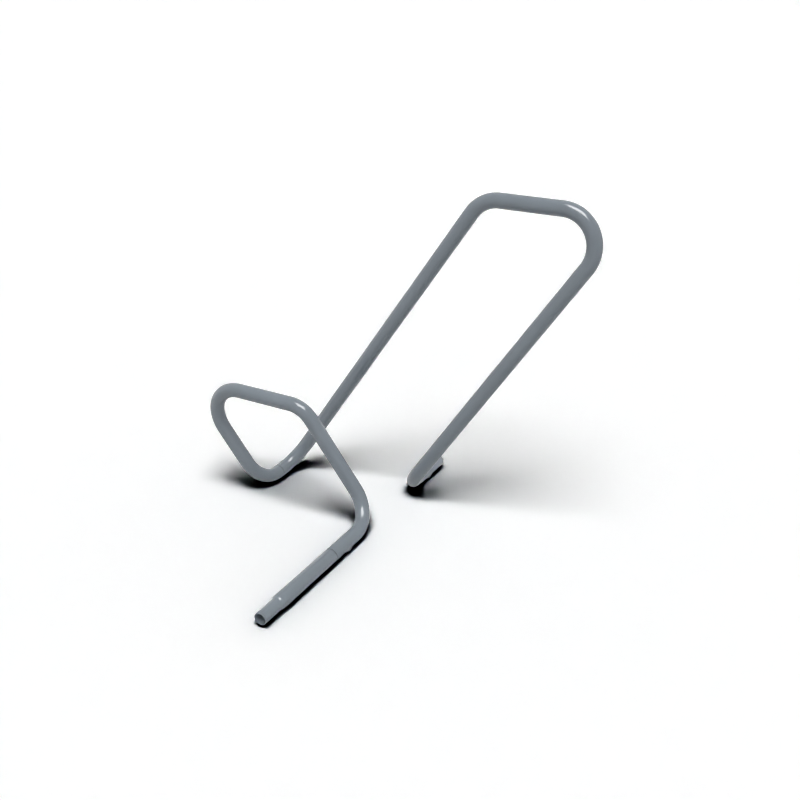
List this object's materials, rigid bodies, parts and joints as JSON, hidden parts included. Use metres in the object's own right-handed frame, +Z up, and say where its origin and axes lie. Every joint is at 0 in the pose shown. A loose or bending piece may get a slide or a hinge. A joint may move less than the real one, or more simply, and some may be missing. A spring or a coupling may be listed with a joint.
{
  "type": "hoop bike rack",
  "caption": "Tubular bike rack module: a low hoop and a tall hoop on one ground line, with a plug-in connector spigot at one end and an open socket at the other.",
  "frame": {"origin": "centre of the front foot's ground face, at the mouth of its anchor hole", "axes": "+X along the row from the spigot to the socket, +Y across the row towards the second feet of the hoops, +Z up"},
  "size_m": [0.9433, 1.0678, 0.9374],
  "materials": {
    "powder_coat": "semi-gloss blue-grey powder coat",
    "zinc_steel": "zinc-plated steel"
  },
  "bodies": {
    "rack": {"low_hoop": "powder_coat", "tall_hoop": "powder_coat", "front_stub": "powder_coat", "rear_stub": "powder_coat", "middle_weld": "powder_coat", "front_foot": "powder_coat", "rear_foot": "powder_coat", "front_foot_weld": "powder_coat", "rear_foot_weld": "powder_coat", "middle_pad": "powder_coat"},
    "connector": {"connector_tube": "powder_coat", "joining_sleeve": "zinc_steel"}
  },
  "joints": [
    {"name": "connector_slide", "type": "slide", "parent": "rack", "child": "connector", "axis": [-1, 0, 0], "range_m": [0, 0.05]}
  ]
}
